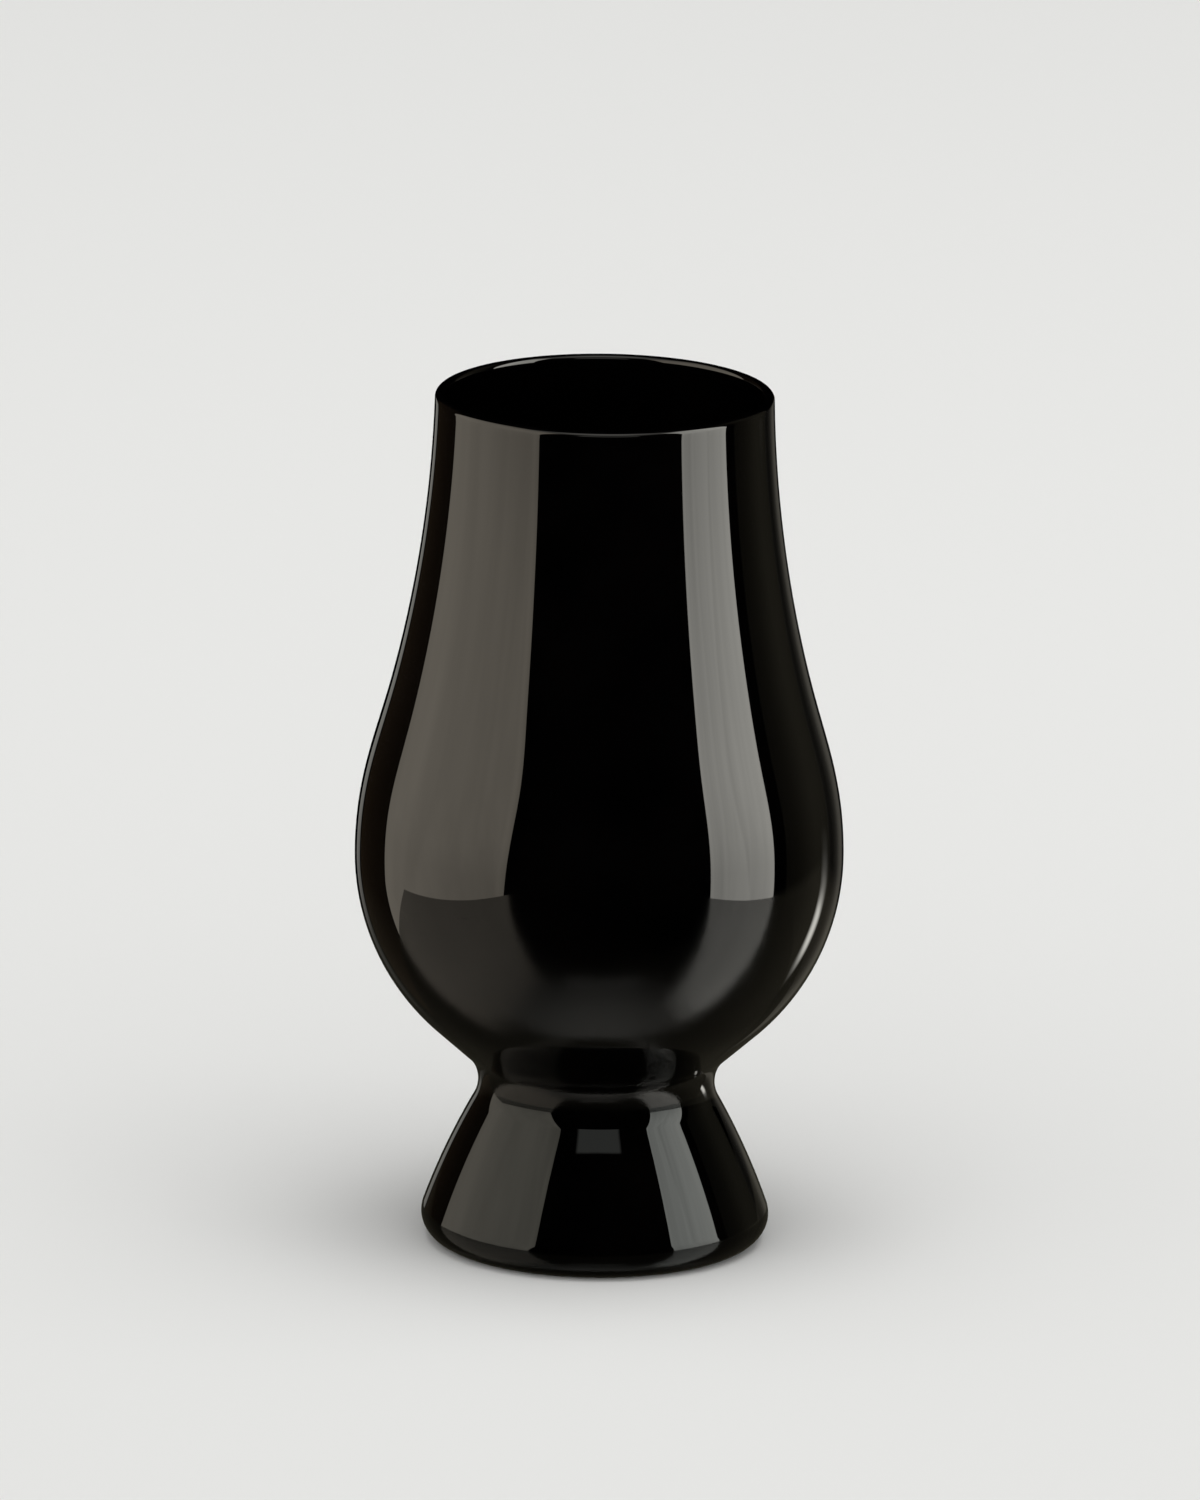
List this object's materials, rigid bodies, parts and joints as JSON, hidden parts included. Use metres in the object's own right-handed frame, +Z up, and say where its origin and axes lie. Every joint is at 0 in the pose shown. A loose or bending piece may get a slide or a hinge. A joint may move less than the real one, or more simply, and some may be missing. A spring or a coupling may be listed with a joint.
{
  "type": "whisky nosing glass",
  "caption": "Small tulip-shaped nosing glass in opaque black glass, with a wide belly, a narrow chimney and a solid flared foot.",
  "frame": {"origin": "centre of the ring that the foot rests on, at the height of the table", "axes": "+Z up along the axis of the glass, from the foot to the mouth; +Y away from the picture's camera, +X to its right"},
  "size_m": [0.0644, 0.0644, 0.115],
  "materials": {
    "black_glass": "polished opaque black"
  },
  "bodies": {
    "root": {"bowl": "black_glass", "foot": "black_glass"}
  },
  "joints": []
}
